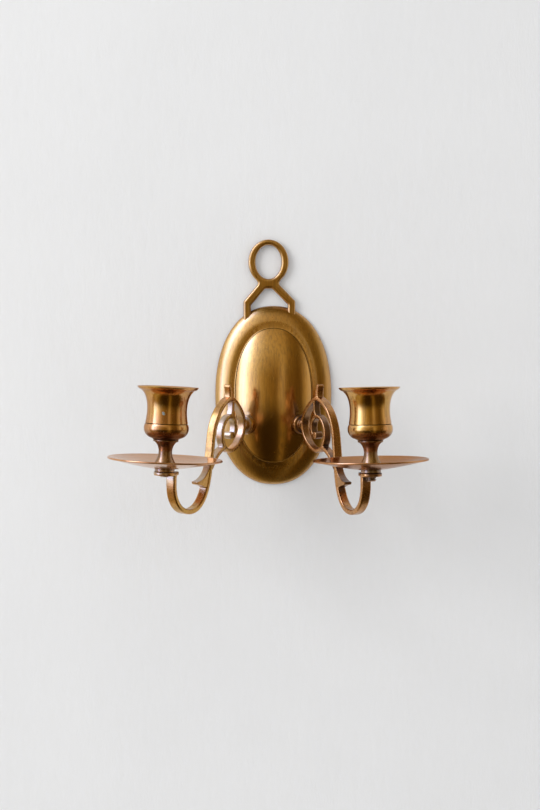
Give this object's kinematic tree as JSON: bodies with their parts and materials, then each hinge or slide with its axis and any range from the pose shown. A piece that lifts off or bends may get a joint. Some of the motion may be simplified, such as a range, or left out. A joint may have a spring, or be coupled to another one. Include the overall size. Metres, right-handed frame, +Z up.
{
  "type": "wall sconce candle holder",
  "caption": "Brass wall sconce for candles: an oval domed backplate with a hanging loop, and scrolled arms that carry drip pans and turned candle cups.",
  "frame": {"origin": "centre of the oval backplate, on the wall plane", "axes": "+Z up, -Y straight out from the wall towards the room, +X to the viewer's right; the wall is the plane y = 0"},
  "size_m": [0.1984, 0.1305, 0.181],
  "materials": {
    "plate_brass": "polished, aged, with rubbed edges and darker hollows",
    "arm_brass": "cast, aged, dark in the hollows and bright copper-brown on the edges",
    "cup_brass": "turned and polished, with streaks and fine pits",
    "pan_brass": "spun and polished, coppery",
    "hardware_brass": "tarnished"
  },
  "bodies": {
    "backplate": {"backplate": "plate_brass"},
    "left_arm": {"left_arm": "arm_brass", "left_arm_screw": "hardware_brass", "left_arm_washer": "hardware_brass", "left_lock_nut": "hardware_brass"},
    "left_drip_pan": {"left_drip_pan": "pan_brass"},
    "left_candle_cup": {"left_candle_cup": "cup_brass", "left_stud": "hardware_brass"},
    "right_arm": {"right_arm": "arm_brass", "right_arm_screw": "hardware_brass", "right_arm_washer": "hardware_brass", "right_lock_nut": "hardware_brass"},
    "right_drip_pan": {"right_drip_pan": "pan_brass"},
    "right_candle_cup": {"right_candle_cup": "cup_brass", "right_stud": "hardware_brass"}
  },
  "joints": [
    {"name": "left_arm_swivel", "type": "hinge", "parent": "backplate", "child": "left_arm", "pos_m": [-0.0182, -0.0127, -0.0196], "axis": [-0.4679, -0.8838, 0], "range_deg": [-12, 12]},
    {"name": "left_cup_turn", "type": "hinge", "parent": "left_arm", "child": "left_drip_pan", "pos_m": [-0.06764, -0.09013, -0.04476], "axis": [0.0447, -0.0237, 0.9987], "range_deg": [0, 1260]},
    {"name": "left_cup_rise", "type": "slide", "parent": "left_drip_pan", "child": "left_candle_cup", "axis": [0.0447, -0.0237, 0.9987], "range_m": [0, 0.00445]},
    {"name": "right_arm_swivel", "type": "hinge", "parent": "backplate", "child": "right_arm", "pos_m": [0.0182, -0.0127, -0.0196], "axis": [0.4679, -0.8838, 0], "range_deg": [-12, 12]},
    {"name": "right_cup_turn", "type": "hinge", "parent": "right_arm", "child": "right_drip_pan", "pos_m": [0.05972, -0.09475, -0.04515], "axis": [-0.0216, -0.0114, 0.9997], "range_deg": [0, 1980]},
    {"name": "right_cup_rise", "type": "slide", "parent": "right_drip_pan", "child": "right_candle_cup", "axis": [-0.0216, -0.0114, 0.9997], "range_m": [0, 0.00699]}
  ],
  "couplings": [
    {"joint": "left_cup_rise", "follows": "left_cup_turn", "m_per_rad": 0.00020213},
    {"joint": "right_cup_rise", "follows": "right_cup_turn", "m_per_rad": 0.00020213}
  ]
}
